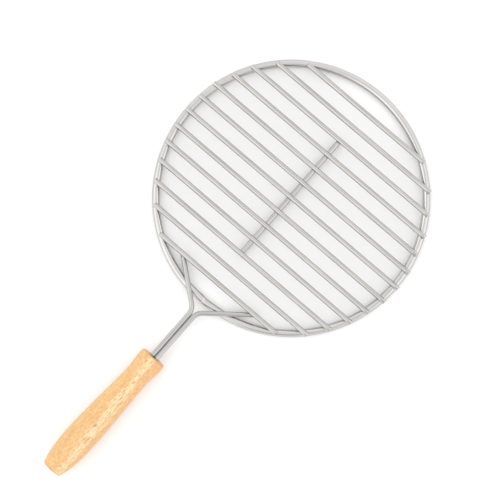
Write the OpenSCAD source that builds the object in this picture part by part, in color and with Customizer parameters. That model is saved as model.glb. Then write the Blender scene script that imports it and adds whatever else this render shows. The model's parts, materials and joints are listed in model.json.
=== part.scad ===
// Round wire grill grate with a long wooden handle.
//
// A thick ring carries a row of parallel bars, welded on top of it. One brace runs
// across under the middle bars. Two handle wires lie side by side from the wooden
// handle to the ring, spread there into a Y, pass over the ring and end under the
// bar nearest the handle.
//
// Millimetres. The origin is the ring's centre, on the surface the grate lies on.
// +Z is up, +Y points away from the handle, and the bars run along X.

/* [Ring] */
// Outside diameter of the round frame ring
ring_od = 220; // [208:1:240]
// Diameter of the ring's wire
ring_wire_d = 6; // [5:0.1:7]
// Width of the weld that closes the ring
ring_weld_w = 1.4; // [1:0.1:2]
// How far that weld stands proud of the ring's wire
ring_weld_proud = 0.25; // [0.1:0.05:0.4]

/* [Bars] */
// Diameter of the wire of the bars and the brace
bar_d = 4; // [3.5:0.1:4.5]
// Distance from one bar's centre line to the next
bar_pitch = 14.8; // [14:0.1:15.5]
// How far the outermost bars stop short of the ring's outer edge
outer_bar_setback = 2; // [1:0.1:3]
// How far the brace lies to the right of the ring's middle; it is welded on by eye
brace_shift = -0.7; // [-2:0.1:2]
// How far the brace is out of square with the bars, in degrees
brace_lean = 0.65; // [-1.5:0.05:1.5]
// How deep crossing wires are pressed into each other where they are welded
weld_sink = 0.4; // [0.3:0.05:0.6]
// Radius of the weld around each crossing
weld_r = 1.9; // [1.7:0.05:2.1]

/* [Handle wires] */
// Diameter of the two handle wires
handle_wire_d = 4; // [3.5:0.1:4.5]
// Distance from the ring's wire to the corner where the two wires part
split_gap = 10.3; // [9.5:0.1:12.5]
// How far that corner lies to the right of the ring's centre
split_shift = 0.9; // [0:0.1:1.5]
// Angle between each arm and a line square to the bars
arm_angle = 51.2; // [48:0.1:54]
// Bend radius where the wires part
split_bend_r = 10; // [8:0.5:12]
// Length of the wires inside the wooden handle
tang_len = 60; // [40:1:80]

/* [Wooden handle] */
// Distance from the ring's centre to the front of the wood
wood_front = 165; // [160:1:180]
// Length of the wooden handle
wood_len = 118; // [110:1:130]
// Largest diameter, in the rear half
belly_d = 24.8; // [23:0.1:27]
// Diameter of the rounded lip at the front
lip_d = 22.4; // [21:0.1:23]
// Smallest diameter, behind the lip
waist_d = 19.9; // [18:0.1:21]
// Diameter of the flat end
butt_d = 16.8; // [15:0.1:18]
// Rounding of the two end edges
edge_r = 1.2; // [0.8:0.1:1.6]
// How far the wood leans off square to the bars, in degrees
handle_lean = 1.9; // [0:0.05:2]
// Distance from the ring's centre to the point that the wood leans about
lean_pivot = 169.5; // [160:0.5:180]

/* [Hidden] */
$fn = 64;

steel = [0.78, 0.77, 0.75];
weld_steel = [0.62, 0.60, 0.57];
wood = [0.93, 0.72, 0.45];

// Ring
ring_r = (ring_od - ring_wire_d) / 2;
ring_z = ring_wire_d / 2;
ring_fn = 180;

// Bars: the first one is nearest the handle.
bar_count = 13;
bar_r = bar_d / 2;
bar_z = ring_wire_d + bar_r - weld_sink;
// The bars are laid by hand, so each is shifted a little along its own length.
bar_shift = [0.5, 1, 0, 0.5, 0, 1, 1, 1, -0.5, 1, 0, 1.5, 2];

function bar_y(i) = (i - (bar_count + 1) / 2) * bar_pitch;
function bar_setback(i) = i == 1 || i == bar_count ? outer_bar_setback : 0.3;
// A bar is cut where its outer corner reaches the ring's outer edge.
function bar_half(i) =
    sqrt(pow(ring_od / 2, 2) - pow(abs(bar_y(i)) + bar_r, 2)) - bar_setback(i);
// Where a bar crosses the ring, as a distance from the bar's middle
function crossing_x(i) = sqrt(pow(ring_r, 2) - pow(bar_y(i), 2));

// Brace: it ends under the third bar from each side.
brace_first = 3;
brace_last = bar_count + 1 - brace_first;
brace_overhang = 0.6;
brace_z = bar_z - bar_d + weld_sink;

function brace_point(y) = [brace_shift + y * tan(brace_lean), y, brace_z];

// Handle wires. side is -1 for the left one and 1 for the right one.
wire_r = handle_wire_d / 2;
wire_x = wire_r + 0.05;
// The bends and the tangs are a little thinner than the straight runs and lap into them.
bend_d = handle_wire_d - 0.1;
bend_lap = 0.2;
split_y = -(ring_r + split_gap);
// The arms lie over the ring and dive under the first bar, which they just clear.
arm_tip_y = bar_y(1) + 0.2;
under_bar_gap = 0.15;
over_ring_z = ring_wire_d + wire_r - weld_sink;
under_bar_z = bar_z - bar_r - wire_r - under_bar_gap;

function arm_start(side) = [split_shift + side * wire_x, split_y];
function arm_dir(side) = [side * sin(arm_angle), cos(arm_angle)];
// Level distance from the split to the arm's crossing of the ring, and to its tip
function arm_to_ring(side) =
    let (
        p = arm_start(side),
        along = p * arm_dir(side)
    )
    -along - sqrt(along * along - (p * p - ring_r * ring_r));
function arm_to_tip(side) = (arm_tip_y - arm_start(side).y) / arm_dir(side).y;
function arm_rise(side) =
    (over_ring_z - under_bar_z) / (arm_to_tip(side) - arm_to_ring(side));
function arm_point(side, s) =
    let (p = arm_start(side) + s * arm_dir(side))
    [p.x, p.y, over_ring_z - (s - arm_to_ring(side)) * arm_rise(side)];

// A point of the wood's own level frame, where its axis is X = 0, as it lies in the row
function leaned(p) =
    [
        p.x * cos(handle_lean) + (p.y + lean_pivot) * sin(handle_lean),
        (p.y + lean_pivot) * cos(handle_lean) - p.x * sin(handle_lean) - lean_pivot,
        p.z
    ];

// Wooden handle: its axis is level, and its belly rests on the surface. The wires turn
// into line with it a little ahead of the wood.
wood_z = belly_d / 2;
tang_bend_ahead = 3;
bore_r = handle_wire_d + 0.1;
bore_len = tang_len + 2;
// Distance from the front and radius, at the places that shape the outline
lip_at = 4.5;
waist_at = 19.5;
swell_at = 58;
belly_at = 81;
shoulder_at = 103;
swell_r = waist_d / 2 + (belly_d - waist_d) * 0.36;
shoulder_r = belly_d / 2 - (belly_d - butt_d) * 0.11;
outline = [
    [0, lip_d / 2 - 0.5],
    [lip_at, lip_d / 2],
    [waist_at, waist_d / 2],
    [swell_at, swell_r],
    [belly_at, belly_d / 2],
    [shoulder_at, shoulder_r],
    [wood_len, butt_d / 2]
];
outline_steps = 8;
edge_steps = 5;

function unit(v) = v / norm(v);
// Slope of the outline at one of its points; it is level at the lip, waist and belly.
function slope(i) =
    i == 0 ? 0.2 :
    i == len(outline) - 1 ? -0.32 :
    i == 1 || i == 2 || i == 4 ? 0 :
    (outline[i + 1].y - outline[i - 1].y) / (outline[i + 1].x - outline[i - 1].x);
// A point between outline points i and i + 1, on a cubic that has their slopes
function between(i, t) =
    let (
        a = outline[i],
        b = outline[i + 1],
        w = b.x - a.x
    )
    [
        a.x + w * t,
        (2 * t * t * t - 3 * t * t + 1) * a.y + (t * t * t - 2 * t * t + t) * w * slope(i)
        + (3 * t * t - 2 * t * t * t) * b.y + (t * t * t - t * t) * w * slope(i + 1)
    ];

// Turns +Z towards v.
module aim(v) {
    rotate([0, acos(v.z / norm(v)), atan2(v.y, v.x)]) children();
}

// A straight round wire with square-cut ends
module rod(a, b, d) {
    translate(a) aim(b - a) cylinder(h = norm(b - a), d = d);
}

// A bend of centre-line radius bend_r at the corner q, on the way from p to r, which laps
// into the straight run at each end
module elbow(p, q, r, bend_r, d) {
    u = unit(q - p);
    v = unit(r - q);
    turn = acos(u * v);
    lap = bend_lap / bend_r * 180 / PI;
    n = unit(cross(u, v));
    inward = cross(n, u);
    tilt = acos(n.z);
    swing = atan2(n.y, n.x);
    local_x = [cos(swing) * cos(tilt), sin(swing) * cos(tilt), -sin(tilt)];
    local_y = [-sin(swing), cos(swing), 0];
    start = atan2(-inward * local_y, -inward * local_x);
    translate(q - u * bend_r * tan(turn / 2) + inward * bend_r)
        rotate([0, tilt, swing])
            rotate([0, 0, start - lap])
                rotate_extrude(angle = turn + 2 * lap)
                    translate([bend_r, 0]) circle(d = d);
}

// Turns its children with the wood.
module handle_frame() {
    translate([0, -lean_pivot, 0]) rotate([0, 0, -handle_lean]) translate([0, lean_pivot, 0])
        children();
}

module ring_wire() {
    translate([0, 0, ring_z])
        rotate_extrude($fn = ring_fn) translate([ring_r, 0]) circle(d = ring_wire_d);
}

module bar_wire(i) {
    rod(
        [bar_shift[i - 1] - bar_half(i), bar_y(i), bar_z],
        [bar_shift[i - 1] + bar_half(i), bar_y(i), bar_z],
        bar_d
    );
}

module brace_wire() {
    rod(
        brace_point(bar_y(brace_first) - brace_overhang),
        brace_point(bar_y(brace_last) + brace_overhang),
        bar_d
    );
}

module handle_wire(side) {
    tip = arm_point(side, arm_to_tip(side));
    corner = arm_point(side, 0);
    front = leaned([side * wire_x, -(wood_front - tang_bend_ahead), wood_z]);
    end = leaned([side * wire_x, -(wood_front + tang_len), wood_z]);
    out = unit(corner - tip);
    down = unit(front - corner);
    trim = split_bend_r * tan(acos(out * down) / 2);
    rod(tip, corner - out * trim, handle_wire_d);
    elbow(tip, corner, front, split_bend_r, bend_d);
    rod(corner + down * trim, front, handle_wire_d);
    rod(front - unit(end - front) * bend_lap, end, bend_d);
}

// The straight run of a handle wire from its tip towards the split
module arm_wire(side) {
    rod(
        arm_point(side, arm_to_tip(side)),
        arm_point(side, split_bend_r * tan(arm_angle / 2)),
        handle_wire_d
    );
}

module ring_frame() {
    color(steel)
        difference() {
            ring_wire();
            translate([0, -ring_r, ring_z])
                cube([ring_weld_w, 2 * ring_wire_d, 2 * ring_wire_d], center = true);
            for (i = [1:bar_count]) bar_wire(i);
            arm_wire(-1);
            arm_wire(1);
        }
}

// The bead that closes the ring, midway between the two arms. It is ground level with
// the ring underneath, so that the grate lies flat.
module ring_butt_weld() {
    bead_r = ring_wire_d / 2 + ring_weld_proud;
    color(weld_steel)
        difference() {
            translate([-ring_weld_w / 2, -ring_r, ring_z])
                rotate([0, 90, 0]) cylinder(h = ring_weld_w, r = bead_r);
            translate([-ring_wire_d, -ring_r - ring_wire_d, -ring_wire_d])
                cube([2 * ring_wire_d, 2 * ring_wire_d, ring_wire_d]);
        }
}

module grate_bar(i) {
    color(steel) bar_wire(i);
}

module centre_brace() {
    color(steel)
        difference() {
            brace_wire();
            for (i = [brace_first:brace_last]) bar_wire(i);
        }
}

module handle_wire_left() {
    color(steel) handle_wire(-1);
}

module handle_wire_right() {
    color(steel) handle_wire(1);
}

// Half of the handle's outline, with its two end edges rounded
module wood_outline() {
    first_r = between(0, edge_r / lip_at).y;
    last_i = len(outline) - 2;
    last_t = 1 - edge_r / (wood_len - shoulder_at);
    last_r = between(last_i, last_t).y;
    front_edge = [for (k = [0:edge_steps])
        let (a = 90 * k / edge_steps)
        [first_r - edge_r * (1 - sin(a)), edge_r * (1 - cos(a))]];
    sides = [
        for (i = [0:last_i])
            for (k = [0:outline_steps])
                let (p = between(i, k / outline_steps))
                if (p.x > edge_r + 0.2 && p.x < wood_len - edge_r - 0.2
                    && (k < outline_steps || i == last_i)) [p.y, p.x]
    ];
    butt_edge = [for (k = [0:edge_steps])
        let (a = 90 * k / edge_steps)
        [last_r - edge_r * (1 - cos(a)), wood_len - edge_r * (1 - sin(a))]];
    polygon(concat([[0, 0]], front_edge, sides, butt_edge, [[0, wood_len]]));
}

module wooden_handle() {
    color(wood)
        handle_frame()
            translate([0, -wood_front, wood_z])
                rotate([90, 0, 0])
                    difference() {
                        rotate_extrude() wood_outline();
                        translate([0, 0, -1]) cylinder(h = bore_len + 1, r = bore_r);
                    }
}

// A small ball where wires cross; the wires are then taken out of it.
module crossing_ball(p) {
    translate(p) sphere(r = weld_r, $fn = 32);
}

// The short stretch of the ring's wire around the place at angle a
module ring_stretch(a) {
    rotate([0, 0, a])
        translate([ring_r, 0, ring_z])
            rotate([90, 0, 0]) cylinder(h = 5 * weld_r, d = ring_wire_d, center = true);
}

module bar_welds() {
    color(weld_steel)
        for (i = [1:bar_count])
            for (side = [-1, 1]) {
                reach = min(crossing_x(i), bar_half(i) + side * bar_shift[i - 1] - 1);
                difference() {
                    crossing_ball([side * reach, bar_y(i), ring_wire_d - weld_sink / 2]);
                    ring_stretch(atan2(bar_y(i), side * crossing_x(i)));
                    bar_wire(i);
                }
            }
}

module brace_welds() {
    color(weld_steel)
        for (i = [brace_first:brace_last])
            difference() {
                crossing_ball(brace_point(bar_y(i)) + [0, 0, (bar_z - brace_z) / 2]);
                brace_wire();
                bar_wire(i);
            }
}

module handle_welds() {
    color(weld_steel)
        for (side = [-1, 1]) {
            over_ring = arm_point(side, arm_to_ring(side)) - [0, 0, wire_r];
            under_bar = arm_point(side, arm_to_tip(side) - weld_r) + [0, 0, wire_r];
            difference() {
                crossing_ball(over_ring);
                ring_stretch(atan2(over_ring.y, over_ring.x));
                arm_wire(side);
            }
            difference() {
                crossing_ball(under_bar);
                bar_wire(1);
                arm_wire(side);
            }
        }
}

ring_frame();
ring_butt_weld();
grate_bar(1);  // grate_bar_01
grate_bar(2);  // grate_bar_02
grate_bar(3);  // grate_bar_03
grate_bar(4);  // grate_bar_04
grate_bar(5);  // grate_bar_05
grate_bar(6);  // grate_bar_06
grate_bar(7);  // grate_bar_07
grate_bar(8);  // grate_bar_08
grate_bar(9);  // grate_bar_09
grate_bar(10);  // grate_bar_10
grate_bar(11);  // grate_bar_11
grate_bar(12);  // grate_bar_12
grate_bar(13);  // grate_bar_13
centre_brace();
handle_wire_left();
handle_wire_right();
wooden_handle();
bar_welds();
brace_welds();
handle_welds();
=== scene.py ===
"""Looks for the round wire grill grate: plated wire, spot welds, a turned wooden handle.

Metres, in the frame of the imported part. The ring lies on the floor round the origin, the
bars run along X, and the handle points towards -Y.
"""

import json
import math

import bpy
import numpy as np
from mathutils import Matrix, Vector, noise


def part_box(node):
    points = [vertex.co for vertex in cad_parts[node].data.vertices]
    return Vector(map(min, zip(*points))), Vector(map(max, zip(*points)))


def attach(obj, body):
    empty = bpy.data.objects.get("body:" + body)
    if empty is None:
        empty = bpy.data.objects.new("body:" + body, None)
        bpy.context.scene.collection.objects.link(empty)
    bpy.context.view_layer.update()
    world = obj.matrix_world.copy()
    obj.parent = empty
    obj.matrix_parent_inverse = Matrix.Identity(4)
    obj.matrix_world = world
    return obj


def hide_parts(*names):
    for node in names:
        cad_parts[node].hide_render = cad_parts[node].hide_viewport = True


MM = 0.001

# The ring is flattened by this much at its weld, but for a small ridge at the very ends
WELD_FLAT = 0.75 * MM
WELD_FLAT_REACH = math.radians(20)
WELD_RIDGE = 0.35 * MM
WELD_RIDGE_REACH = math.radians(4.5)
# The ring's two ends miss each other sideways by about this much
WELD_OFFSET = 0.22 * MM
WELD_OFFSET_REACH = math.radians(7)
# How far the ring's ends run into their weld, and the notch on the weld's outer side
WELD_LAP = 0.3 * MM
WELD_NOTCH = 0.55 * MM

# Half sizes of the beads at the crossings: along, across and up
BAR_BEAD = np.array([2.0, 1.55, 0.85]) * MM
BRACE_BEAD = np.array([1.6, 1.6, 0.8]) * MM
OVER_RING_BEAD = np.array([2.2, 1.6, 0.85]) * MM
UNDER_BAR_BEAD = np.array([1.6, 1.5, 0.8]) * MM

# Bars and brace, as in part.scad
BAR_COUNT = 13
BRACE_FIRST = 3
BAR_D = 4 * MM
BRACE_SHIFT = -0.7 * MM
BRACE_LEAN = math.radians(0.65)

# Handle wires, as in part.scad
HANDLE_WIRE_D = 4 * MM
SPLIT_GAP = 10.3 * MM
SPLIT_SHIFT = 0.9 * MM
ARM_ANGLE = math.radians(51.2)
ARM_TIP_PAST_BAR = 0.2 * MM
SPLIT_BEND_R = 10 * MM
TANG_BEND_R = 30 * MM
TANG_BEND_AHEAD = 3 * MM
TANG_LENGTH = 60 * MM
WIRES_APART = 0.05 * MM
WELD_SINK = 0.4 * MM
UNDER_BAR_GAP = 0.15 * MM

# Wooden handle, as in part.scad
WOOD_FRONT = 165 * MM
WOOD_LENGTH = 118 * MM
BELLY_D = 24.8 * MM
LIP_D = 22.4 * MM
WAIST_D = 19.9 * MM
BUTT_D = 16.8 * MM
BORE_R = 4.1 * MM
BORE_LENGTH = 62 * MM
HANDLE_LEAN = math.radians(1.9)
LEAN_PIVOT = 169.5 * MM

# Wire ends: the share of the radius against the share of the cut's depth, from the middle out
WIRE_END = ((0.02, 0.0), (0.6, 0.0), (0.9, 0.15), (0.975, 0.45), (1.0, 1.0))

# Camera: its place, its turn about X, Y and Z in degrees, and its lens in millimetres
CAMERA_AT = (0.0412, -0.0660, 1.0508)
CAMERA_TURN = (1.952, 1.133, 40.613)
CAMERA_LENS = 95.5

# The tent's brightness against the height of the direction, 0 at the horizon and 1 overhead
TENT_LEVELS = (
    (0.0, 1.15),
    (0.05, 1.8),
    (0.18, 1.8),
    (0.28, 1.3),
    (0.47, 1.35),
    (0.62, 1.6),
    (0.8, 1.6),
    (0.9, 1.25),
    (1.0, 1.42),
)
TENT_STRENGTH = 0.95
# Its patches, in degrees: azimuth, tilt from overhead, where the patch starts and ends to fade;
# and then the gain. Two are lights, and the last one is a duller side.
TENT_PATCHES = ((238, 44, 22, 34, 0.55), (30, 52, 18, 34, 0.40), (313, 50, 12, 28, -0.55))

# Floor: a pale matt sheet that glows a little of itself
FLOOR_HALF = 10.0
FLOOR_LEVEL = 0.76
FLOOR_GLOW = 0.12

RING_TINT = (0.535, 0.524, 0.509)
STEEL_TINT = (0.48, 0.47, 0.457)
WELD_TINT = (0.40, 0.385, 0.36)
GROUND_WELD_TINT = (0.72, 0.70, 0.67)
HEAT_TINT = (0.42, 0.33, 0.22)

HONEY = (0.69, 0.445, 0.195)
CREAM = (0.76, 0.62, 0.38)
TAN = (0.60, 0.34, 0.13)
ROSE = (0.68, 0.385, 0.19)
FLECK_BROWN = (0.56, 0.27, 0.085)
PORE_BROWN = (0.38, 0.17, 0.05)
RIM_SHADE_BROWN = (0.52, 0.24, 0.07)


# ---------------------------------------------------------------- mesh helpers


def unit(v):
    return v / np.linalg.norm(v)


def smooth_step(t):
    t = np.clip(t, 0, 1)
    return t * t * (3 - 2 * t)


def wobble(seed, x):
    """A smooth value between about -1 and 1 that changes along x."""
    return noise.noise(Vector((x, seed * 7.31, seed * 1.77)))


def build_mesh(name, points, faces, coords, sharp_angle=35):
    """A piece from points and faces. coords goes into the attribute that its material reads."""
    mesh = bpy.data.meshes.new(name)
    mesh.from_pydata([tuple(p) for p in points], [], faces)
    mesh.validate()
    local = mesh.attributes.new("local", "FLOAT_VECTOR", "POINT")
    local.data.foreach_set("vector", np.asarray(coords, np.float32).ravel())
    mesh.shade_smooth()
    mesh.set_sharp_from_angle(angle=math.radians(sharp_angle))
    piece = bpy.data.objects.new(name, mesh)
    bpy.context.scene.collection.objects.link(piece)
    return piece


def grid_faces(rows, columns, closed=False):
    """Quads between rows of points that each go round once."""
    faces = []
    for i in range(rows if closed else rows - 1):
        a, b = i * columns, (i + 1) % rows * columns
        for k in range(columns):
            n = (k + 1) % columns
            faces.append((a + k, a + n, b + n, b + k))
    return faces


def lift_frames(path):
    """Unit directions along a path, and for each a side and a top direction that don't twist."""
    ahead = [unit(b - a) for a, b in zip(path[:-1], path[1:])]
    along = [ahead[0]] + [unit(a + b) for a, b in zip(ahead[:-1], ahead[1:])] + [ahead[-1]]
    top = np.array([0.0, 0.0, 1.0])
    side = unit(np.cross(along[0], top))
    sides = []
    for d in along:
        side = unit(side - d * (side @ d))
        sides.append(side)
    return along, sides, [np.cross(s, d) for s, d in zip(sides, along)]


def wire(name, path, radius, seed, segments=28, cut=0.15 * MM, shear=0.10):
    """A drawn wire along a path, cut off at both ends by shears.

    The cut leaves a narrow rolled edge and a face that is slightly out of square and domed.
    """
    path = [np.asarray(p, float) for p in path]
    along, sides, tops = lift_frames(path)
    start = np.cumsum([0] + [np.linalg.norm(b - a) for a, b in zip(path[:-1], path[1:])])
    rings = []

    def ring(i, r, inward, tilt):
        """A ring of points at path point i, drawn in along the wire by a tilted amount."""
        way = along[i] if i == 0 else -along[i]
        made = []
        for k in range(segments):
            a = 2 * math.pi * k / segments
            c, s = math.cos(a), math.sin(a)
            lean = inward + tilt * (1 + math.cos(a - seed)) * radius
            p = path[i] + (sides[i] * c + tops[i] * s) * r + way * lean
            made.append((p, (radius * c, radius * s, start[i] + lean)))
        rings.append(made)

    last = len(path) - 1
    for r, inward in WIRE_END:
        ring(0, radius * r, cut * inward, shear)
    for i in range(1, last):
        ring(i, radius * (1 + 0.004 * wobble(seed, start[i] * 90)), 0, 0)
    for r, inward in reversed(WIRE_END):
        ring(last, radius * r, cut * inward, shear)
    points = [p for made in rings for p, _ in made]
    coords = [c for made in rings for _, c in made]
    faces = grid_faces(len(rings), segments)
    faces.append(tuple(reversed(range(segments))))
    faces.append(tuple(range(len(points) - segments, len(points))))
    return build_mesh(name, points, faces, coords)


def bent_path(corners, radii, step=1.0 * MM):
    """Points along straight runs with a round bend at each inner corner."""
    corners = [np.asarray(c, float) for c in corners]
    path = [corners[0]]

    def run_to(p):
        a = path[-1]
        n = max(1, int(np.linalg.norm(p - a) / (4 * step)))
        path.extend(a + (p - a) * (k / n) for k in range(1, n + 1))

    for before, corner, after, r in zip(corners[:-2], corners[1:-1], corners[2:], radii):
        u, v = unit(corner - before), unit(after - corner)
        turn = math.acos(float(np.clip(u @ v, -1, 1)))
        trim = r * math.tan(turn / 2)
        run_to(corner - u * trim)
        inward = unit(v - u * (u @ v))
        centre = corner - u * trim + inward * r
        n = max(3, int(r * turn / step))
        for k in range(1, n + 1):
            a = turn * k / n
            path.append(centre - inward * r * math.cos(a) + u * r * math.sin(a))
    run_to(corners[-1])
    return path


def bead(name, places, seed):
    """Small lumps of weld metal, joined in one piece.

    Each place is (point, radius along x, y and z, turn about z).
    """
    points, faces, coords = [], [], []
    rows, columns = 10, 18
    for number, (centre, radii, turn) in enumerate(places):
        first = len(points)
        c, s = math.cos(turn), math.sin(turn)
        for i in range(rows):
            polar = math.pi * (i + 0.4) / (rows - 0.2)
            for k in range(columns):
                a = 2 * math.pi * k / columns
                d = np.array([math.sin(polar) * math.cos(a), math.sin(polar) * math.sin(a), math.cos(polar)])
                lump = 1 + 0.13 * noise.noise(Vector(d * 2.1) + Vector((number * 3.7, seed, 0)))
                p = d * radii * lump
                points.append(centre + np.array([c * p[0] - s * p[1], s * p[0] + c * p[1], p[2]]))
                coords.append(points[-1])
        faces += [tuple(first + v for v in f) for f in grid_faces(rows, columns)]
        faces.append(tuple(range(first + columns - 1, first - 1, -1)))
        faces.append(tuple(range(len(points) - columns, len(points))))
    return build_mesh(name, points, faces, coords, sharp_angle=80)


# ------------------------------------------------------------------- materials


class Nodes:
    """A short way to write the nodes of a material or of the world."""

    def __init__(self, owner, shader="Principled BSDF"):
        owner.use_nodes = True
        self.owner = owner
        self.tree = owner.node_tree
        self.shader = self.tree.nodes[shader]

    def add(self, kind, **values):
        node = self.tree.nodes.new(kind)
        for key, value in values.items():
            if key in node.inputs:
                self.put(node.inputs[key], value)
            else:
                setattr(node, key, value)
        return node

    def put(self, socket, value):
        if isinstance(value, bpy.types.NodeSocket):
            self.tree.links.new(value, socket)
        else:
            socket.default_value = value

    def local(self, scale=(1, 1, 1), shift=(0, 0, 0)):
        """The piece's own coordinates in metres, scaled and shifted."""
        source = self.add("ShaderNodeAttribute", attribute_name="local")
        mapping = self.add("ShaderNodeMapping", Scale=scale, Location=shift)
        self.put(mapping.inputs["Vector"], source.outputs["Vector"])
        return mapping.outputs["Vector"]

    def noise(self, vector, scale, detail=3, rough=0.5, twist=0.0):
        return self.add(
            "ShaderNodeTexNoise", Vector=vector, Scale=scale, Detail=detail, Roughness=rough, Distortion=twist
        ).outputs["Fac"]

    def spread(self, value, low, high, to_low=0.0, to_high=1.0):
        """Maps value from low..high to another range, clamped."""
        node = self.add("ShaderNodeMapRange", Value=value)
        for key, number in (("From Min", low), ("From Max", high), ("To Min", to_low), ("To Max", to_high)):
            node.inputs[key].default_value = number
        return node.outputs["Result"]

    def math(self, operation, a, b=0.0):
        node = self.add("ShaderNodeMath", operation=operation)
        self.put(node.inputs[0], a)
        self.put(node.inputs[1], b)
        return node.outputs["Value"]

    def mix(self, share, a, b, blend="MIX"):
        node = self.add("ShaderNodeMix", data_type="RGBA", blend_type=blend)
        self.put(node.inputs["Factor"], share)
        for socket, value in ((node.inputs[6], a), (node.inputs[7], b)):
            self.put(socket, value if isinstance(value, bpy.types.NodeSocket) else (*value, 1))
        return node.outputs[2]

    def bump(self, height, strength, distance, normal=None):
        node = self.add("ShaderNodeBump", Height=height, Strength=strength, Distance=distance)
        if normal is not None:
            self.put(node.inputs["Normal"], normal)
        return node.outputs["Normal"]


def drawn_wire(name, tint, shift):
    """Bright plated wire: lengthwise die lines, a faint haze in patches, a few dull specks."""
    n = Nodes(bpy.data.materials.new(name))
    lines = n.noise(n.local((1, 1, 0.012), shift), 5200, detail=2)
    streaks = n.noise(n.local((1, 1, 0.012), shift), 1400, detail=2)
    haze = n.noise(n.local((1, 1, 0.35), shift), 130, detail=3)
    specks = n.spread(n.noise(n.local((1, 1, 0.6), shift), 1500, detail=1), 0.70, 0.78)
    dark = tuple(c * 0.78 for c in tint)
    colour = n.mix(n.spread(haze, 0.35, 0.7), tint, tuple(c * 0.93 for c in tint))
    colour = n.mix(n.spread(streaks, 0.44, 0.64, 0.0, 0.9), colour, dark)
    colour = n.mix(n.math("MULTIPLY", specks, 0.5), colour, tuple(c * 0.6 for c in tint))
    n.put(n.shader.inputs["Base Color"], colour)
    n.shader.inputs["Metallic"].default_value = 1.0
    rough = n.math("ADD", n.spread(lines, 0.3, 0.7, 0.06, 0.12), n.spread(haze, 0.35, 0.7, 0.0, 0.06))
    n.put(n.shader.inputs["Roughness"], rough)
    fine = n.bump(lines, 0.25, 0.00003)
    n.put(n.shader.inputs["Normal"], n.bump(streaks, 0.3, 0.00006, fine))
    return n.owner


def weld_metal(name, metal, heat, rough):
    """Squeezed-out weld metal: lumpy, between two roughnesses, with some straw and brown heat tint."""
    n = Nodes(bpy.data.materials.new(name))
    lumps = n.noise(n.local(), 900, detail=4)
    tint = n.noise(n.local(), 420, detail=2)
    colour = n.mix(n.spread(lumps, 0.3, 0.7), metal, tuple(c * 0.62 for c in metal))
    colour = n.mix(n.spread(tint, 0.5, 0.75, 0.0, heat), colour, HEAT_TINT)
    n.put(n.shader.inputs["Base Color"], colour)
    n.shader.inputs["Metallic"].default_value = 1.0
    n.put(n.shader.inputs["Roughness"], n.spread(lumps, 0.3, 0.7, *rough))
    n.put(n.shader.inputs["Normal"], n.bump(lumps, 0.6, 0.00015))
    return n.owner


def lacquered_wood():
    """Light open-pored hardwood under a clear satin lacquer.

    The local coordinates run across the handle in x and y, and along it in z.
    """
    n = Nodes(bpy.data.materials.new("lacquered_wood"))
    place = n.add("ShaderNodeSeparateXYZ", Vector=n.local()).outputs
    # Slow changes of tone, then one pale band that slants along the top: part sapwood and part painted
    # highlight, so it is kept to the upper side
    broad = n.noise(n.local((1, 1, 0.12)), 210, detail=3)
    colour = n.mix(n.spread(broad, 0.38, 0.68, 0.0, 0.75), HONEY, TAN)
    drift = n.math("MULTIPLY", n.math("SUBTRACT", n.noise(n.local((1, 1, 0.10)), 330, detail=4), 0.5), 0.011)
    band_x = n.math("ADD", n.math("MULTIPLY", place["Z"], 0.045), 0.0010)
    past_band = n.math("ADD", n.math("SUBTRACT", place["X"], band_x), drift)
    off_band = n.math("ABSOLUTE", past_band)
    band = n.math("MULTIPLY", n.spread(off_band, 0.0014, 0.0042, 1.0, 0.0), n.spread(place["Y"], 0.0, 0.006))
    colour = n.mix(n.spread(past_band, 0.003, 0.006, 0.0, 0.8), colour, ROSE)
    # The cream band is part sapwood colour and part painted highlight
    colour = n.mix(n.math("MULTIPLY", band, 0.92), colour, CREAM)
    # Fibres, darker and paler, and short flecks
    fibre = n.noise(n.local((1, 1, 0.05)), 2300, detail=3, rough=0.6)
    colour = n.mix(n.spread(fibre, 0.44, 0.66, 0.0, 0.80), colour, TAN)
    fleck = n.noise(n.local((1, 1, 0.22), (0.3, 0.1, 0)), 1700, detail=3, rough=0.6)
    colour = n.mix(n.spread(fleck, 0.50, 0.66, 0.0, 0.75), colour, FLECK_BROWN)
    colour = n.mix(n.spread(fleck, 0.46, 0.30, 0.0, 0.65), colour, CREAM)
    # Open pores: short dark dashes along the grain, most of them beside the pale band
    pore = n.noise(n.local((1, 1, 0.14)), 1300, detail=1, rough=0.4)
    near_band = n.spread(off_band, 0.001, 0.006, 1.0, 0.25)
    pores = n.math("MULTIPLY", n.spread(pore, 0.62, 0.68), near_band)
    colour = n.mix(n.math("MULTIPLY", pores, 0.85), colour, PORE_BROWN)
    # Both ends, rounded rims and end faces, are painted a little darker: painted shade where the edges turn
    # away
    front_rim = n.spread(place["Z"], 0.3 * MM, 1.2 * MM, 1.0, 0.0)
    butt_rim = n.spread(place["Z"], WOOD_LENGTH - 1.7 * MM, WOOD_LENGTH - 0.6 * MM)
    colour = n.mix(n.math("MULTIPLY", n.math("ADD", front_rim, butt_rim), 0.6), colour, RIM_SHADE_BROWN)
    n.put(n.shader.inputs["Base Color"], colour)
    n.put(n.shader.inputs["Roughness"], n.spread(fibre, 0.3, 0.7, 0.38, 0.54))
    n.shader.inputs["Coat Weight"].default_value = 0.25
    n.shader.inputs["Coat Roughness"].default_value = 0.22
    n.shader.inputs["Specular IOR Level"].default_value = 0.35
    grain = n.bump(fibre, 0.25, 0.00008)
    n.put(n.shader.inputs["Normal"], n.bump(n.math("SUBTRACT", 1.0, pores), 0.35, 0.0002, grain))
    return n.owner


def paint(piece, material, slot, *nodes):
    """Gives a piece its material, hangs it on the root body, and hides the parts that it stands for."""
    piece.data.materials.append(material)
    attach(piece, "root")
    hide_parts(*nodes)
    return piece


# ---------------------------------------------------------------------- pieces


def middle(node):
    low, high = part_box(node)
    return np.array((low + high) / 2)


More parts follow.
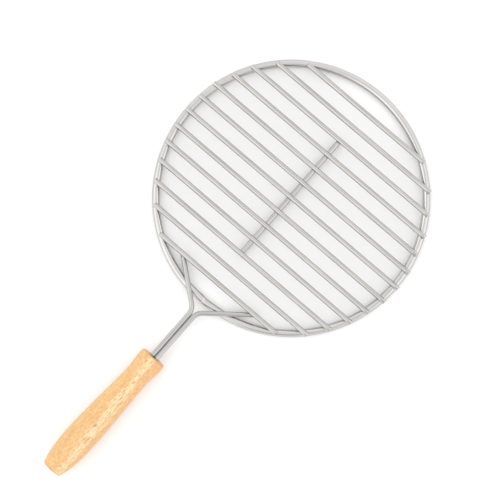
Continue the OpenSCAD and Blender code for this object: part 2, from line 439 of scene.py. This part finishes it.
def size_of(node):
    low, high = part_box(node)
    return np.array(high - low)


def ring_measures():
    """The radius of the ring's centre line, and the radius of its wire."""
    size = size_of("ring_frame")
    return (size[0] - size[2]) / 2, size[2] / 2


def bar_node(number):
    return "grate_bar_%02d" % number


def weld_flat(turn):
    """How far the ring is flattened at an angle from its weld, where it was too stiff to bend round."""
    ridge = max(0.0, 1 - turn / WELD_RIDGE_REACH)
    return WELD_FLAT * (1 - smooth_step(turn / WELD_FLAT_REACH)) - WELD_RIDGE * ridge


def make_ring(material):
    """The ring starts and ends at its weld, where its two ends don't quite meet in line."""
    ring_r, radius = ring_measures()
    gap = (size_of("ring_butt_weld")[0] / 2 - WELD_LAP) / ring_r
    steps = 420
    path = []
    for i in range(steps + 1):
        turn = gap + (2 * math.pi - 2 * gap) * i / steps
        from_start, from_end = turn - gap, 2 * math.pi - gap - turn
        # Only the end that slips inwards moves, so the ring never passes its outer edge
        slip = smooth_step(from_end / WELD_OFFSET_REACH) - smooth_step(from_start / WELD_OFFSET_REACH)
        r = ring_r - weld_flat(min(from_start, from_end)) + WELD_OFFSET * min(0.0, slip)
        a = turn - math.pi / 2
        path.append((r * math.cos(a), r * math.sin(a), radius))
    piece = wire("ring", path, radius, seed=3, segments=32, cut=0.2 * MM, shear=0.02)
    return paint(piece, material, "ring_steel", "ring_frame")


def make_bar(node, number, material):
    """A straight bar with the slight bow that hand-fed wire keeps."""
    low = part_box(node)[0]
    centre, size = middle(node), size_of(node)
    bow = 0.12 * MM * wobble(number, 3.3)
    steps = 48
    path = []
    for i in range(steps + 1):
        t = i / steps
        x = low.x + size[0] * t
        y = centre[1] + bow * 4 * t * (1 - t)
        path.append((x, y, centre[2]))
    piece = wire("bar_%02d" % number, path, size[2] / 2, seed=number, shear=0.05)
    return paint(piece, material, "wire_steel", node)


def make_brace(material):
    low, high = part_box("centre_brace")
    radius = BAR_D / 2
    steps = 40
    path = []
    for i in range(steps + 1):
        y = low.y + (high.y - low.y) * i / steps
        path.append((BRACE_SHIFT + y * math.tan(BRACE_LEAN), y, low.z + radius))
    piece = wire("brace", path, radius, seed=21, shear=0.06)
    return paint(piece, material, "wire_steel", "centre_brace")


class HandleFrame:
    """Where the handle's wires run, worked out from the ring and the first bar."""

    def __init__(self):
        self.ring_r, ring_wire_r = ring_measures()
        self.bar_y = middle(bar_node(1))[1]
        self.wire_r = HANDLE_WIRE_D / 2
        self.wire_x = self.wire_r + WIRES_APART
        self.split_y = -(self.ring_r + SPLIT_GAP)
        self.over_ring_z = 2 * ring_wire_r + self.wire_r - WELD_SINK
        self.under_bar_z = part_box(bar_node(1))[0].z - self.wire_r - UNDER_BAR_GAP

    def leaned(self, x, y, z):
        """A point of the wood's own level frame, where its axis is X = 0, as it lies in the row."""
        c, s = math.cos(HANDLE_LEAN), math.sin(HANDLE_LEAN)
        y += LEAN_PIVOT
        return np.array([x * c + y * s, y * c - x * s - LEAN_PIVOT, z])

    def arm(self, side):
        """An arm's start and level direction, and its distances to the ring and to its tip."""
        start = np.array([SPLIT_SHIFT + side * self.wire_x, self.split_y])
        way = np.array([side * math.sin(ARM_ANGLE), math.cos(ARM_ANGLE)])
        along = start @ way
        to_ring = -along - math.sqrt(along * along - (start @ start - self.ring_r**2))
        to_tip = (self.bar_y + ARM_TIP_PAST_BAR - start[1]) / way[1]
        return start, way, to_ring, to_tip

    def arm_point(self, side, s):
        """The arm's centre at a level distance s from the split. It falls from the ring to the bar."""
        start, way, to_ring, to_tip = self.arm(side)
        fall = (self.over_ring_z - self.under_bar_z) / (to_tip - to_ring)
        x, y = start + way * s
        return np.array([x, y, self.over_ring_z - (s - to_ring) * fall])


def make_handle_wire(side, name, node, place, wood_z, material):
    to_tip = place.arm(side)[3]
    x = side * place.wire_x
    corners = [
        place.arm_point(side, to_tip),
        place.arm_point(side, 0),
        place.leaned(x, -(WOOD_FRONT - TANG_BEND_AHEAD), wood_z),
        place.leaned(x, -(WOOD_FRONT + TANG_LENGTH), wood_z),
    ]
    path = bent_path(corners, [SPLIT_BEND_R, TANG_BEND_R])
    piece = wire(name, path, place.wire_r, seed=30 + side, shear=0.06)
    return paint(piece, material, "wire_steel", node)


def wood_radius(s):
    """The handle's radius at a distance s from its front, on cubics through seven places.

    A place is (distance from the front, radius).
    """
    swell = WAIST_D / 2 + (BELLY_D - WAIST_D) * 0.36
    shoulder = BELLY_D / 2 - (BELLY_D - BUTT_D) * 0.11
    spots = [
        (0, LIP_D / 2 - 0.5 * MM),
        (4.5 * MM, LIP_D / 2),
        (19.5 * MM, WAIST_D / 2),
        (58 * MM, swell),
        (81 * MM, BELLY_D / 2),
        (103 * MM, shoulder),
        (WOOD_LENGTH, BUTT_D / 2),
    ]

    def slope(i):
        if i == 0:
            return 0.2
        if i == len(spots) - 1:
            return -0.32
        if i in (1, 2, 4):
            return 0.0
        return (spots[i + 1][1] - spots[i - 1][1]) / (spots[i + 1][0] - spots[i - 1][0])

    i = max(k for k in range(len(spots) - 1) if spots[k][0] <= s or k == 0)
    (x0, r0), (x1, r1) = spots[i], spots[i + 1]
    w = x1 - x0
    t = (s - x0) / w
    return (
        (2 * t**3 - 3 * t**2 + 1) * r0
        + (t**3 - 2 * t**2 + t) * w * slope(i)
        + (3 * t**2 - 2 * t**3) * r1
        + (t**3 - t**2) * w * slope(i + 1)
    )


def make_wood(place, wood_z, material):
    """The turned handle, with its bore, softened edges and the faint flats that sanding leaves."""
    segments = 96
    edge = 1.3 * MM
    chamfer = 0.35 * MM
    tip_r = 0.02 * MM
    front_r = wood_radius(edge) - edge
    profile = [
        (BORE_LENGTH, tip_r),
        (BORE_LENGTH, BORE_R),
        (chamfer, BORE_R),
        (0.0, BORE_R + chamfer),
        (0.0, (front_r + BORE_R) / 2),
    ]
    for k in range(7):
        a = math.pi / 2 * k / 6
        profile.append((edge * (1 - math.cos(a)), front_r + edge * math.sin(a)))
    steps = 90
    for k in range(1, steps):
        s = edge + (WOOD_LENGTH - 2 * edge) * k / steps
        profile.append((s, wood_radius(s)))
    butt_r = wood_radius(WOOD_LENGTH - edge) - edge
    for k in range(7):
        a = math.pi / 2 * k / 6
        profile.append((WOOD_LENGTH - edge * (1 - math.sin(a)), butt_r + edge * math.cos(a)))
    profile += [(WOOD_LENGTH, butt_r * 0.5), (WOOD_LENGTH, tip_r)]
    points, coords = [], []
    for s, r in profile:
        for k in range(segments):
            a = 2 * math.pi * k / segments
            c, z = math.cos(a), math.sin(a)
            worn = 1.0
            if r > BORE_R + 1 * MM:
                worn -= 0.004 * (0.5 + 0.5 * noise.noise(Vector((c * 1.5, z * 1.5, s * 30))))
            points.append(place.leaned(r * worn * c, -(WOOD_FRONT + s), wood_z + r * worn * z))
            coords.append((r * worn * c, r * worn * z, s))
    faces = grid_faces(len(profile), segments)
    faces.append(tuple(reversed(range(segments))))
    faces.append(tuple(range(len(points) - segments, len(points))))
    piece = build_mesh("wood_handle", points, faces, coords, sharp_angle=50)
    return paint(piece, material, "handle_wood", "wooden_handle")


def make_bar_welds(material):
    """A bead along the ring at each end of each bar, which keeps a little inside the bar's end."""
    ring_r, radius = ring_measures()
    places = []
    for number in range(1, BAR_COUNT + 1):
        low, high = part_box(bar_node(number))
        y = (low.y + high.y) / 2
        x = math.sqrt(ring_r**2 - y * y)
        for side, end in ((-1, low.x), (1, high.x)):
            at = side * min(x, abs(end) - 1 * MM)
            centre = np.array([at, y, 2 * radius - WELD_SINK / 2])
            places.append((centre, BAR_BEAD, math.atan2(side * x, -y)))
    piece = bead("weld_beads_bars", places, 1.0)
    return paint(piece, material, "weld_metal", "bar_welds")


def make_brace_welds(material):
    places = []
    for number in range(BRACE_FIRST, BAR_COUNT + 2 - BRACE_FIRST):
        low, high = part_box(bar_node(number))
        y = (low.y + high.y) / 2
        centre = np.array([BRACE_SHIFT + y * math.tan(BRACE_LEAN), y, low.z + WELD_SINK / 2])
        places.append((centre, BRACE_BEAD, 0.0))
    piece = bead("weld_beads_brace", places, 2.0)
    return paint(piece, material, "weld_metal", "brace_welds")


def make_handle_welds(place, material):
    places = []
    for side in (-1, 1):
        _, way, to_ring, to_tip = place.arm(side)
        turn = math.atan2(way[1], way[0])
        over = place.arm_point(side, to_ring) - np.array([0, 0, place.wire_r])
        under = place.arm_point(side, to_tip - 1.9 * MM) + np.array([0, 0, place.wire_r])
        places.append((over, OVER_RING_BEAD, turn))
        places.append((under, UNDER_BAR_BEAD, turn))
    piece = bead("weld_beads_handle", places, 3.0)
    return paint(piece, material, "weld_metal", "handle_welds")


def make_butt_weld(material):
    """The bead that closes the ring: a ridge of upset metal on top, with a notch on the outer side."""
    width, depth, _ = size_of("ring_butt_weld")
    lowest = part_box("ring_butt_weld")[0].z + 0.02 * MM
    ring_r, axis_z = ring_measures()
    radius = depth / 2
    rows, columns = 9, 36
    points, coords = [], []
    for i in range(rows):
        t = 2 * i / (rows - 1) - 1
        swell = math.sqrt(max(0.0, 1 - 0.9 * t * t))
        for k in range(columns):
            a = 2 * math.pi * k / columns
            d = Vector((t, math.cos(a) * 1.3, math.sin(a) * 1.3))
            r = radius * (0.86 + 0.12 * swell + 0.035 * noise.noise(d * 2.3))
            r = min(r - WELD_NOTCH * max(0.0, -math.cos(a)) * swell, radius)
            y = weld_flat(0.0) - ring_r + r * math.cos(a)
            points.append((t * width / 2, y, max(lowest, axis_z + r * math.sin(a))))
            coords.append(points[-1])
    faces = grid_faces(rows, columns)
    faces.append(tuple(reversed(range(columns))))
    faces.append(tuple(range(len(points) - columns, len(points))))
    piece = build_mesh("ring_weld", points, faces, coords, sharp_angle=60)
    return paint(piece, material, "weld_metal", "ring_butt_weld")


# --------------------------------------------------------------- floor and light


def make_floor():
    mesh = bpy.data.meshes.new("floor")
    corners = [(x * FLOOR_HALF, y * FLOOR_HALF, 0) for x, y in ((-1, -1), (1, -1), (1, 1), (-1, 1))]
    mesh.from_pydata(corners, [], [(0, 1, 2, 3)])
    floor = bpy.data.objects.new("floor", mesh)
    bpy.context.scene.collection.objects.link(floor)
    n = Nodes(bpy.data.materials.new("floor_sheet"))
    n.shader.inputs["Base Color"].default_value = (FLOOR_LEVEL, FLOOR_LEVEL, FLOOR_LEVEL, 1)
    n.shader.inputs["Roughness"].default_value = 0.9
    n.shader.inputs["Specular IOR Level"].default_value = 0.0
    n.shader.inputs["Emission Color"].default_value = (1, 1, 1, 1)
    n.shader.inputs["Emission Strength"].default_value = FLOOR_GLOW
    mesh.materials.append(n.owner)


def toward(azimuth, tilt):
    """The unit direction at an azimuth from +X and a tilt from straight up, in degrees."""
    a, t = math.radians(azimuth), math.radians(tilt)
    return (math.sin(t) * math.cos(a), math.sin(t) * math.sin(a), math.cos(t))


def make_world():
    """A white tent with soft round patches in it: two lights, and a duller side."""
    world = bpy.data.worlds.new("tent")
    bpy.context.scene.world = world
    n = Nodes(world, "Background")
    way = n.add("ShaderNodeTexCoord").outputs["Generated"]
    split = n.add("ShaderNodeSeparateXYZ", Vector=way)
    levels = n.add("ShaderNodeValToRGB", Fac=split.outputs["Z"])
    ramp = levels.color_ramp
    ramp.elements[0].position = TENT_LEVELS[0][0]
    ramp.elements[1].position = TENT_LEVELS[-1][0]
    for position, _ in TENT_LEVELS[1:-1]:
        ramp.elements.new(position)
    for element, (_, level) in zip(ramp.elements, TENT_LEVELS):
        element.color = (level, level, level, 1)
    total = levels.outputs["Color"]
    for azimuth, tilt, inner, outer, gain in TENT_PATCHES:
        dot = n.add("ShaderNodeVectorMath", operation="DOT_PRODUCT")
        n.put(dot.inputs[0], way)
        n.put(dot.inputs[1], toward(azimuth, tilt))
        near, far = math.cos(math.radians(inner)), math.cos(math.radians(outer))
        patch = n.spread(dot.outputs["Value"], far, near, 0.0, gain)
        total = n.math("ADD", total, patch)
    n.put(n.shader.inputs["Color"], total)
    n.shader.inputs["Strength"].default_value = TENT_STRENGTH


def make_camera():
    data = bpy.data.cameras.new("camera")
    data.lens = CAMERA_LENS
    camera = bpy.data.objects.new("camera", data)
    camera.location = CAMERA_AT
    camera.rotation_euler = [math.radians(a) for a in CAMERA_TURN]
    bpy.context.scene.collection.objects.link(camera)
    bpy.context.scene.camera = camera


# ------------------------------------------------------------------------ build

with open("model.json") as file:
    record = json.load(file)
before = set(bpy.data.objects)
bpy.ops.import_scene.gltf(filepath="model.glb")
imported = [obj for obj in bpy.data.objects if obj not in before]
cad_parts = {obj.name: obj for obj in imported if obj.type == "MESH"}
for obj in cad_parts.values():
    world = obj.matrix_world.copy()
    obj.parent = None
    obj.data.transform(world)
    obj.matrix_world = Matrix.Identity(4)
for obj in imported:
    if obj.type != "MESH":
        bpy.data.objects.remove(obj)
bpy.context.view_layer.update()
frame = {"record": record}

ring_steel = drawn_wire("ring_steel", RING_TINT, (0, 0, 0))
wire_steels = [drawn_wire("wire_steel_%d" % i, STEEL_TINT, (0.1 * i, 0.2, 0.7 * i)) for i in (1, 2, 3)]
welds = weld_metal("weld_metal", WELD_TINT, 0.55, (0.34, 0.58))
ground_weld = weld_metal("ground_weld", GROUND_WELD_TINT, 0.15, (0.14, 0.30))
wood = lacquered_wood()

make_ring(ring_steel)
make_butt_weld(ground_weld)
for bar_number in range(1, BAR_COUNT + 1):
    make_bar(bar_node(bar_number), bar_number, wire_steels[bar_number % 3])
make_brace(wire_steels[1])
handle_place = HandleFrame()
butt = next(mount for mount in frame["record"]["mounts"] if mount["name"] == "handle_butt")
wood_axis_z = butt["pos_m"][2]
make_handle_wire(-1, "handle_wire_l", "handle_wire_left", handle_place, wood_axis_z, wire_steels[2])
make_handle_wire(1, "handle_wire_r", "handle_wire_right", handle_place, wood_axis_z, wire_steels[0])
make_wood(handle_place, wood_axis_z, wood)
make_bar_welds(welds)
make_brace_welds(welds)
make_handle_welds(handle_place, welds)

make_floor()
make_world()
make_camera()
bpy.context.scene.view_settings.view_transform = "Standard"
